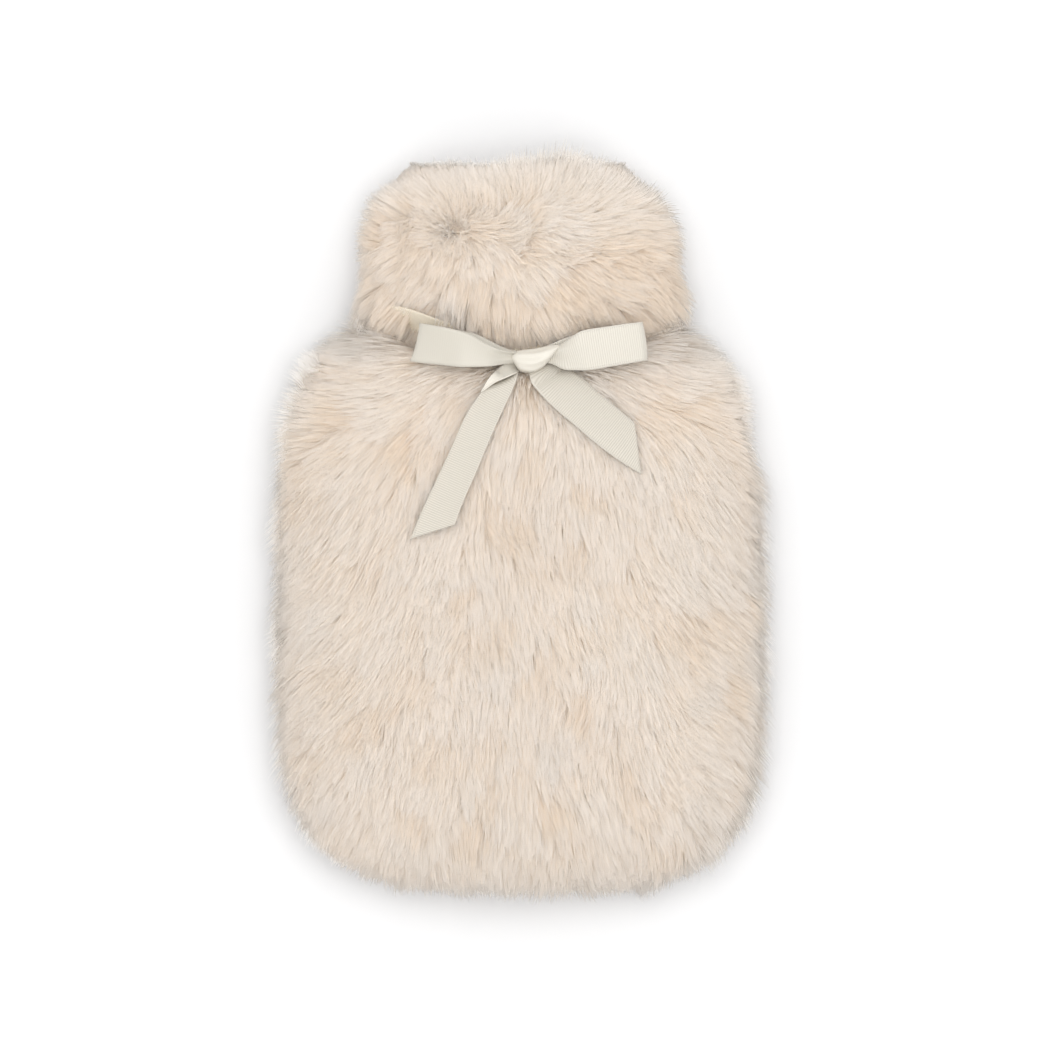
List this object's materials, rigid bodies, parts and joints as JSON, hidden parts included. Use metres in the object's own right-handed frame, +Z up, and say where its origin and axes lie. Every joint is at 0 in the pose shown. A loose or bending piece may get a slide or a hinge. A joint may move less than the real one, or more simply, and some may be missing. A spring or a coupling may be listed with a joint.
{
  "type": "hot water bottle cover",
  "caption": "Long-pile fur cover for a hot water bottle, hollow, with a fur collar and an ivory ribbon tied in a bow round its neck.",
  "frame": {"origin": "on the surface the cover lies on, under the middle of its bounding box", "axes": "+Y from the foot of the cover to the mouth of its collar, +Z up through the front, +X to the right as seen from above"},
  "size_m": [0.2487, 0.3729, 0.0695],
  "materials": {
    "cream_fur": "long soft pile",
    "ivory_grosgrain": "fine cross ribs, slight sheen"
  },
  "bodies": {
    "root": {"front_panel": "cream_fur", "back_panel": "cream_fur", "collar": "cream_fur", "body_locks": "cream_fur", "collar_locks_left": "cream_fur", "collar_locks_right": "cream_fur", "mouth_locks": "cream_fur", "neck_ribbon": "ivory_grosgrain"}
  },
  "joints": []
}
